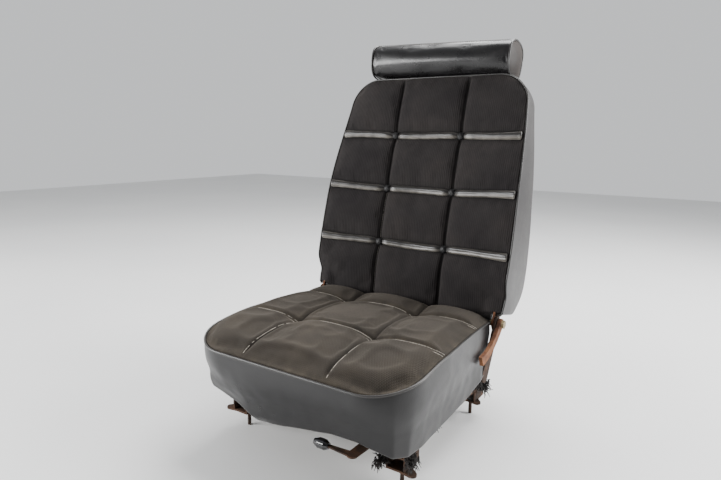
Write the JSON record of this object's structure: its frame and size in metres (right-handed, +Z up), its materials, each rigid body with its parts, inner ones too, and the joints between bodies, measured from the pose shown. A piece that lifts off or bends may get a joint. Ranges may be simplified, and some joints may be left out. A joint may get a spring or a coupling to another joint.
{
  "type": "reclining bucket seat",
  "caption": "Upholstered reclining bucket seat with a buttoned backrest and a height-adjustable head restraint, on sliding floor rails with bolt-down feet.",
  "frame": {"origin": "centre of the four floor studs, on the underside of the rail feet, with the seat in the middle of its slide", "axes": "+Z up, -Y the way the seat faces, +X the sitter's left-hand side (the viewer's right from the front)"},
  "size_m": [0.5224, 0.6959, 0.8708],
  "materials": {
    "rusty_steel": "matte",
    "zinc_bolt": "satin",
    "spring_steel": "satin",
    "chrome_post": "polished",
    "nylon": "satin",
    "black_plastic": "gloss",
    "rubber_webbing": "matte",
    "seat_foam_fill": "matte",
    "seat_fabric": "matte",
    "back_fabric": "matte",
    "black_vinyl": "satin"
  },
  "bodies": {
    "floor_rails": {"lower_rail_left": "rusty_steel", "lower_rail_right": "rusty_steel", "front_feet": "rusty_steel", "rear_feet": "rusty_steel", "floor_studs": "rusty_steel", "rail_stops": "rusty_steel"},
    "seat_base": {"upper_rail_left": "rusty_steel", "upper_rail_right": "rusty_steel", "slide_shoes": "nylon", "pan_side_left": "rusty_steel", "pan_side_right": "rusty_steel", "front_cross_tube": "rusty_steel", "rear_cross_tube": "rusty_steel", "frame_bolts": "rusty_steel", "frame_nuts": "rusty_steel", "seat_webbing": "rubber_webbing", "webbing_clips": "rusty_steel", "seat_foam": "seat_foam_fill", "seat_cloth": "seat_fabric", "seat_boxing": "black_vinyl", "hinge_bracket_left": "rusty_steel", "hinge_bracket_right": "rusty_steel", "hinge_bolts": "zinc_bolt", "hinge_nuts": "zinc_bolt", "hinge_washers": "zinc_bolt", "pawl_pin": "zinc_bolt", "latch_bracket": "rusty_steel", "latch_pin": "zinc_bolt", "latch_spring": "spring_steel"},
    "slide_release": {"slide_lever": "rusty_steel", "slide_lever_knob": "black_plastic"},
    "recline_release": {"recline_lever": "rusty_steel"},
    "recline_catch": {"recline_pawl": "rusty_steel"},
    "backrest": {"hinge_bushes": "nylon", "backrest_arm_left": "rusty_steel", "backrest_arm_right": "rusty_steel", "backrest_hoop": "rusty_steel", "back_webbing": "rubber_webbing", "backrest_foam": "seat_foam_fill", "backrest_cloth": "back_fabric", "backrest_boxing": "black_vinyl", "backrest_back": "black_vinyl", "tuft_bands": "black_vinyl", "tuft_buttons": "black_vinyl", "post_guides": "rusty_steel", "post_collars": "black_plastic"},
    "head_restraint": {"headrest_posts": "chrome_post", "headrest_plate": "rusty_steel", "headrest_foam": "seat_foam_fill", "headrest_cover": "black_vinyl"}
  },
  "joints": [
    {"name": "seat_slide", "type": "slide", "parent": "floor_rails", "child": "seat_base", "axis": [0, -1, 0], "range_m": [-0.08, 0.08]},
    {"name": "slide_lever_pull", "type": "hinge", "parent": "seat_base", "child": "slide_release", "pos_m": [0.15, -0.11, 0.046], "axis": [0, 0, 1], "range_deg": [0, 10], "stiffness_Nm_per_rad": 1.5, "springref_deg": -8.59},
    {"name": "recline_lever_lift", "type": "hinge", "parent": "seat_base", "child": "recline_release", "pos_m": [0.25, 0.175, 0.187], "axis": [-1, 0, 0], "range_deg": [0, 25], "stiffness_Nm_per_rad": 1, "springref_deg": -14.32},
    {"name": "pawl_swing", "type": "hinge", "parent": "seat_base", "child": "recline_catch", "pos_m": [0.238, 0.145, 0.137], "axis": [-1, 0, 0], "range_deg": [0, 12.5]},
    {"name": "backrest_recline", "type": "hinge", "parent": "seat_base", "child": "backrest", "pos_m": [0, 0.175, 0.187], "axis": [1, 0, 0], "range_deg": [-30, 50]},
    {"name": "head_height", "type": "slide", "parent": "backrest", "child": "head_restraint", "axis": [0, 0.2554, 0.9668], "range_m": [0, 0.06]}
  ],
  "couplings": [
    {"joint": "pawl_swing", "follows": "recline_lever_lift", "ratio": 0.5}
  ]
}
